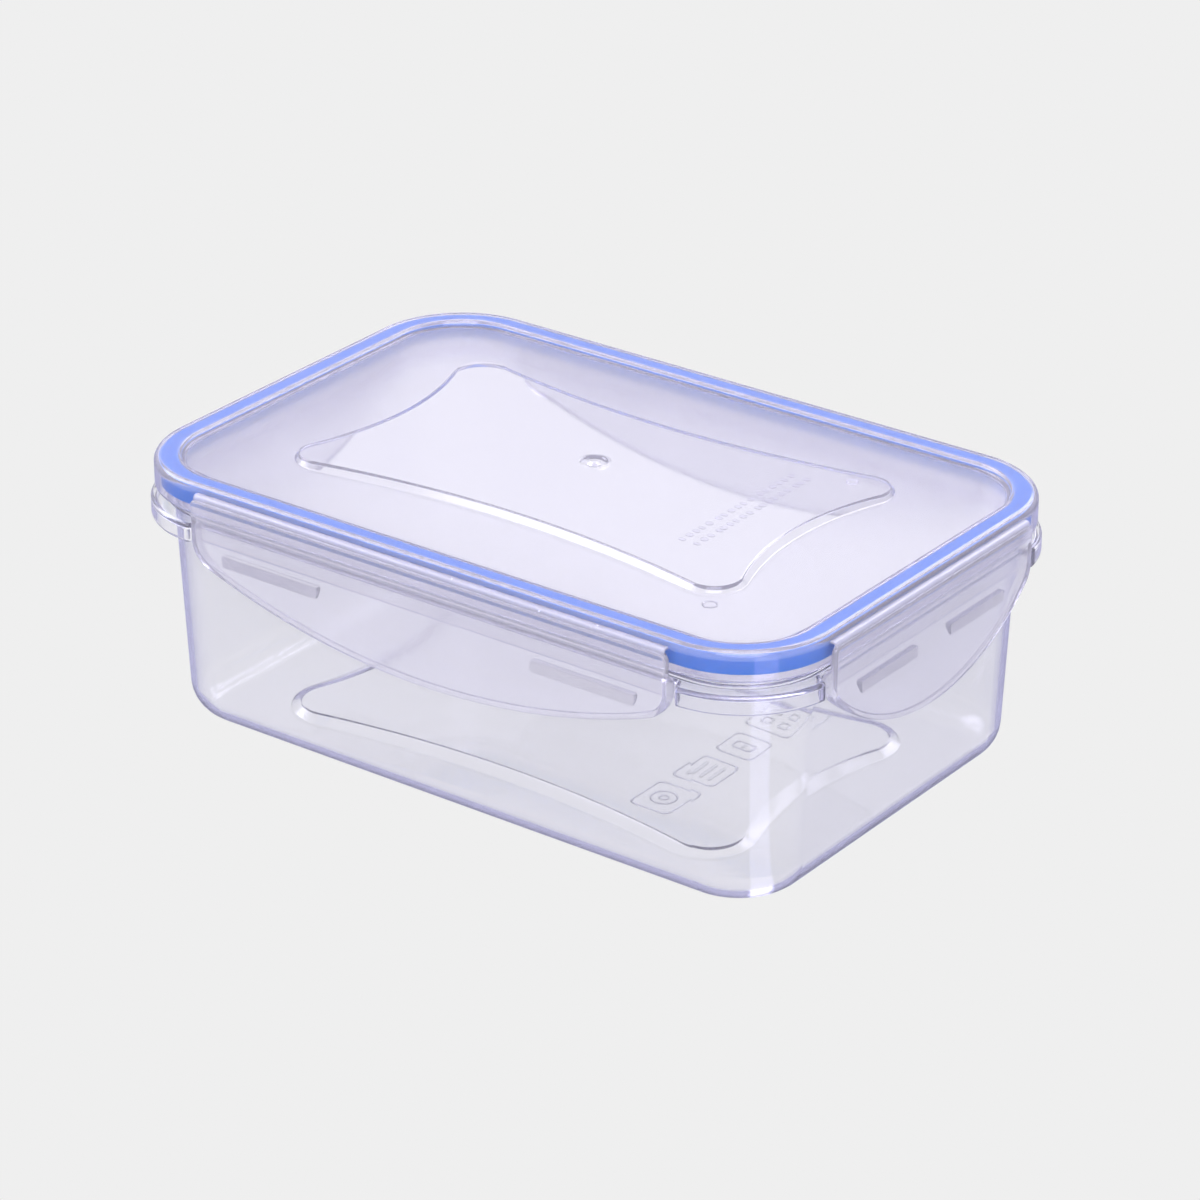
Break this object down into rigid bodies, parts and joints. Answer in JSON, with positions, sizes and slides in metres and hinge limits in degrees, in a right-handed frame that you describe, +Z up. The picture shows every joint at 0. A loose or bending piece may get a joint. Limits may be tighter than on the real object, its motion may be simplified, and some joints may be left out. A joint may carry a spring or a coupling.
{
  "type": "snap lid food container",
  "caption": "Clear rectangular food container: a tub with a ledge, and a sealed lid whose hinged flaps snap under the ledge.",
  "frame": {"origin": "under the middle of the tub, on the surface that it stands on", "axes": "+X along the length towards the right flap, +Y along the width towards the back flap, +Z up"},
  "size_m": [0.2094, 0.1414, 0.0735],
  "materials": {
    "clear_plastic": "clear polypropylene, glossy",
    "lid_plastic": "translucent polypropylene, glossy with a fine-textured panel",
    "blue_silicone": "satin silicone"
  },
  "bodies": {
    "tub": {"tub": "clear_plastic"},
    "lid": {"lid": "lid_plastic", "seal_ring": "blue_silicone"},
    "front_flap": {"front_flap": "lid_plastic", "front_catch_ribs": "lid_plastic", "front_hinge_web": "lid_plastic"},
    "right_flap": {"right_flap": "lid_plastic", "right_catch_ribs": "lid_plastic", "right_hinge_web": "lid_plastic"},
    "back_flap": {"back_flap": "lid_plastic", "back_catch_ribs": "lid_plastic", "back_hinge_web": "lid_plastic"},
    "left_flap": {"left_flap": "lid_plastic", "left_catch_ribs": "lid_plastic", "left_hinge_web": "lid_plastic"}
  },
  "joints": [
    {"name": "lid_lift", "type": "slide", "parent": "tub", "child": "lid", "axis": [0, 0, 1], "range_m": [0, 0.045], "deforming": ["front_catch_ribs", "right_catch_ribs", "back_catch_ribs", "left_catch_ribs"]},
    {"name": "front_flap_hinge", "type": "hinge", "parent": "lid", "child": "front_flap", "pos_m": [0, -0.0695, 0.071], "axis": [-1, 0, 0], "range_deg": [0, 150], "deforming": ["front_hinge_web"]},
    {"name": "right_flap_hinge", "type": "hinge", "parent": "lid", "child": "right_flap", "pos_m": [0.1035, 0, 0.071], "axis": [0, -1, 0], "range_deg": [0, 150], "deforming": ["right_hinge_web"]},
    {"name": "back_flap_hinge", "type": "hinge", "parent": "lid", "child": "back_flap", "pos_m": [0, 0.0695, 0.071], "axis": [1, 0, 0], "range_deg": [0, 150], "deforming": ["back_hinge_web"]},
    {"name": "left_flap_hinge", "type": "hinge", "parent": "lid", "child": "left_flap", "pos_m": [-0.1035, 0, 0.071], "axis": [0, 1, 0], "range_deg": [0, 150], "deforming": ["left_hinge_web"]}
  ]
}
